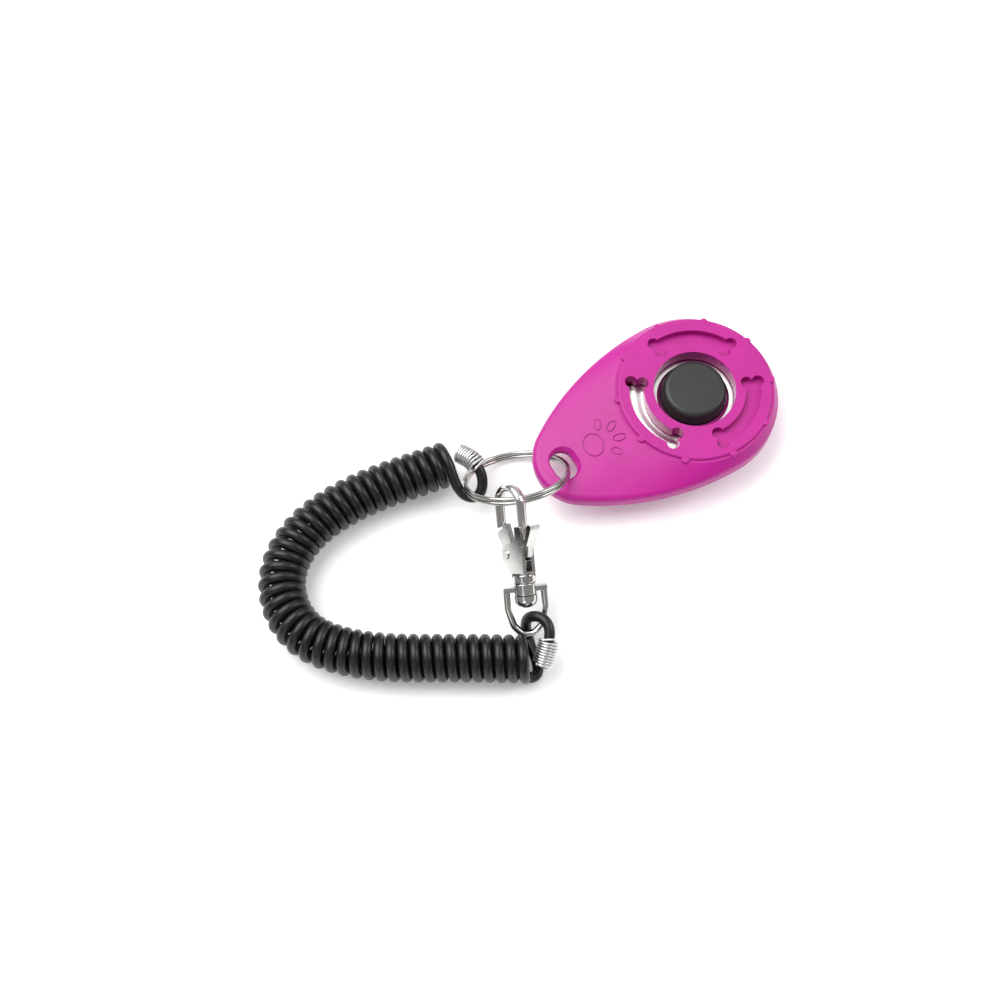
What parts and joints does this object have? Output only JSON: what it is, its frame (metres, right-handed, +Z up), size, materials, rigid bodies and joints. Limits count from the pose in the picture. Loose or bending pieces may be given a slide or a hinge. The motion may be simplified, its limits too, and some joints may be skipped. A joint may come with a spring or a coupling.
{
  "type": "clicker trainer with wrist coil",
  "caption": "Teardrop pet-training clicker with a push button over a steel leaf, a split ring, a swivel trigger snap and a curly wrist cord.",
  "frame": {"origin": "centre of the clicker's flat underside, on the table, midway along the long axis of the plane the two ends share (button axis 11.2 mm towards +X)", "axes": "+Z up, away from the table and out of the button; +X along the clicker towards its wide end; +Y to the left of that"},
  "size_m": [0.1335, 0.0645, 0.021],
  "materials": {
    "cover": "magenta moulded plastic, satin gloss",
    "leaf_steel": "bright spring steel",
    "button": "matt black",
    "ring_steel": "nickel-plated spring wire",
    "plated_snap": "nickel-plated casting",
    "cord": "glossy black, solid elastomer",
    "sleeve_wire": "bright close-wound wire"
  },
  "bodies": {
    "clicker": {"top_cover": "cover", "bottom_cover": "cover", "click_leaf": "leaf_steel"},
    "button": {"button_cap": "button", "button_retainer": "leaf_steel"},
    "ring": {"split_ring": "ring_steel"},
    "strap": {"cord_coil": "cord", "cord_loop_ring": "cord", "cord_loop_clasp": "cord", "sleeve_ring": "sleeve_wire", "sleeve_clasp": "sleeve_wire", "swivel_bail": "plated_snap"},
    "snap": {"snap_body": "plated_snap", "gate_pin": "plated_snap", "gate_spring": "ring_steel", "swivel_rivet": "plated_snap"},
    "gate": {"snap_gate": "plated_snap"}
  },
  "joints": [
    {"name": "button_press", "type": "slide", "parent": "clicker", "child": "button", "axis": [0, 0, -1], "range_m": [0, 0.0012], "stiffness_N_per_m": 1500, "deforming": ["click_leaf"]},
    {"name": "ring_swing", "type": "hinge", "parent": "clicker", "child": "ring", "pos_m": [-0.02458, -0.00123, 0.00984], "axis": [0.2821, 0.677, -0.6797], "range_deg": [-30, 20]},
    {"name": "cord_slide_round_ring", "type": "hinge", "parent": "ring", "child": "strap", "pos_m": [-0.0358, 0.003, 0.0094], "axis": [0.2149, 0.6459, 0.7325], "range_deg": [-45, 40]},
    {"name": "snap_swivel", "type": "hinge", "parent": "strap", "child": "snap", "pos_m": [-0.0475, -0.0201, 0.00975], "axis": [0.3605, 0.7874, 0.5], "range_deg": [-40, 0]},
    {"name": "gate_open", "type": "hinge", "parent": "snap", "child": "gate", "pos_m": [-0.04664, -0.01301, 0.01036], "axis": [0.8514, -0.0589, -0.5212], "range_deg": [0, 18], "stiffness_Nm_per_rad": 0.01, "springref_deg": -11.46}
  ]
}
